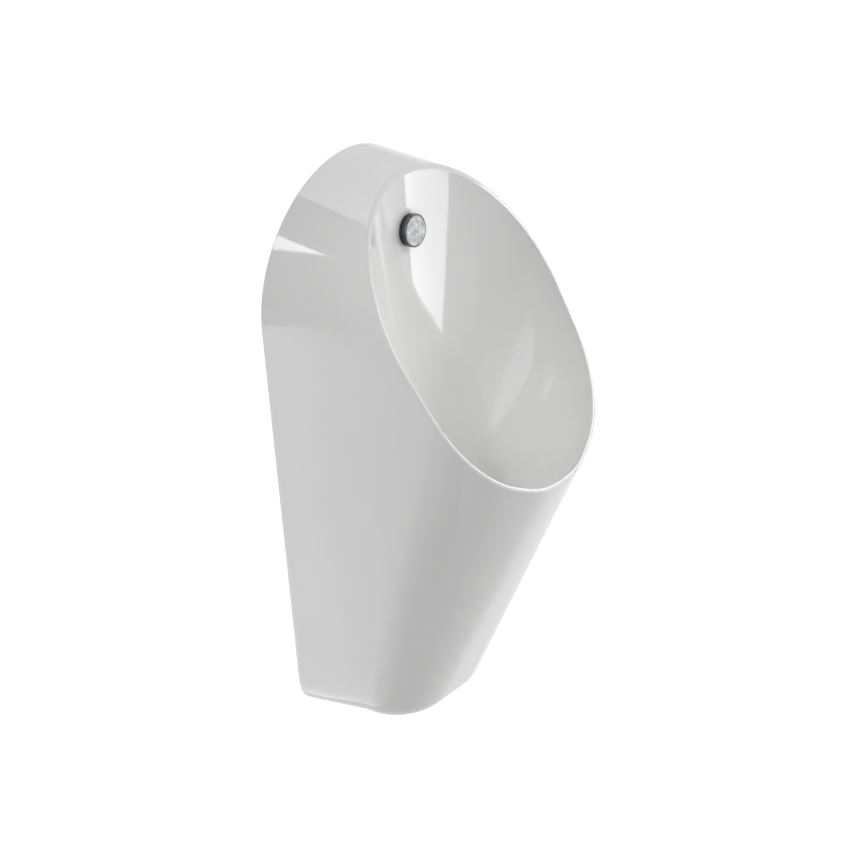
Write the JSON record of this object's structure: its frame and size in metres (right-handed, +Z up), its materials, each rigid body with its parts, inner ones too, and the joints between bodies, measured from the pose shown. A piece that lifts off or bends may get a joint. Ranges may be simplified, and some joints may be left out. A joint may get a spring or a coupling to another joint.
{
  "type": "wall-hung urinal",
  "caption": "Wall-hung ceramic urinal with an inclined oval rim, a chrome spray head, a concealed flush valve, a lift-out strainer and a trap to the wall.",
  "frame": {"origin": "middle of the four wall fixing holes, on the wall plane", "axes": "+Z up, +Y into the wall, so the bowl faces -Y, and +X to the right seen from the front"},
  "size_m": [0.2796, 0.2889, 0.65],
  "materials": {
    "glaze": "gloss white glaze over vitreous china",
    "chrome": "bright chrome plate",
    "satin_chrome": "satin chrome plate",
    "black_rubber": "matt moulded rubber",
    "brass": "machined brass",
    "nickel": "nickel plated",
    "zinc_steel": "zinc plated sheet steel",
    "stainless": "plain stainless steel",
    "white_plastic": "moulded polypropylene",
    "grey_plastic": "moulded plastic",
    "black_plastic": "moulded plastic",
    "blue_plastic": "moulded plastic",
    "board": "coated circuit board",
    "cell_skin": "shrunk sleeve"
  },
  "bodies": {
    "fixture": {"ceramic_body": "glaze", "spray_gasket": "black_rubber", "spray_stem": "chrome", "spray_cap": "satin_chrome", "spray_back_washer": "black_rubber", "spray_lock_nut": "brass", "flush_elbow": "black_plastic", "flush_pipe": "chrome", "pipe_union_nuts": "brass", "stop_valve_body": "brass", "stop_valve_gland": "brass", "stop_valve_screws": "stainless", "solenoid_valve_body": "brass", "armature_tube": "stainless", "solenoid_coil": "black_plastic", "coil_nut": "zinc_steel", "plunger_spring": "stainless", "wall_console": "zinc_steel", "hanger_pads": "black_rubber", "control_case": "grey_plastic", "control_board": "board", "sensor_module": "black_plastic", "control_lid": "grey_plastic", "control_lid_screws": "stainless", "battery_case": "grey_plastic", "battery_cells": "cell_skin", "battery_lid": "grey_plastic", "battery_lid_screws": "stainless", "waste_gasket_upper": "black_rubber", "waste_body": "chrome", "waste_gasket_lower": "black_rubber", "waste_nut": "white_plastic", "trap_u_bend": "white_plastic", "trap_plug": "white_plastic", "trap_plug_seal": "black_rubber", "slip_washers": "black_rubber", "slip_nuts": "white_plastic", "trap_outlet_bend": "white_plastic", "outlet_socket": "white_plastic", "outlet_wall_seal": "black_rubber", "lower_bracket": "zinc_steel", "lower_screw": "stainless", "lower_washer": "black_rubber", "lower_screw_plug": "white_plastic"},
    "strainer": {"drain_strainer": "chrome"},
    "stop_spindle": {"stop_valve_spindle": "nickel", "stop_valve_knob": "blue_plastic"},
    "plunger": {"solenoid_plunger": "stainless"}
  },
  "joints": [
    {"name": "strainer_lift", "type": "slide", "parent": "fixture", "child": "strainer", "axis": [0, 0, 1], "range_m": [0, 0.25]},
    {"name": "stop_valve_turn", "type": "hinge", "parent": "fixture", "child": "stop_spindle", "pos_m": [0, -0.02949, -0.0335], "axis": [0, 0, 1], "range_deg": [0, 90]},
    {"name": "solenoid_travel", "type": "slide", "parent": "fixture", "child": "plunger", "axis": [1, 0, 0], "range_m": [0, 0.0045], "stiffness_N_per_m": 400, "springref_m": -0.004, "deforming": ["plunger_spring"]}
  ]
}
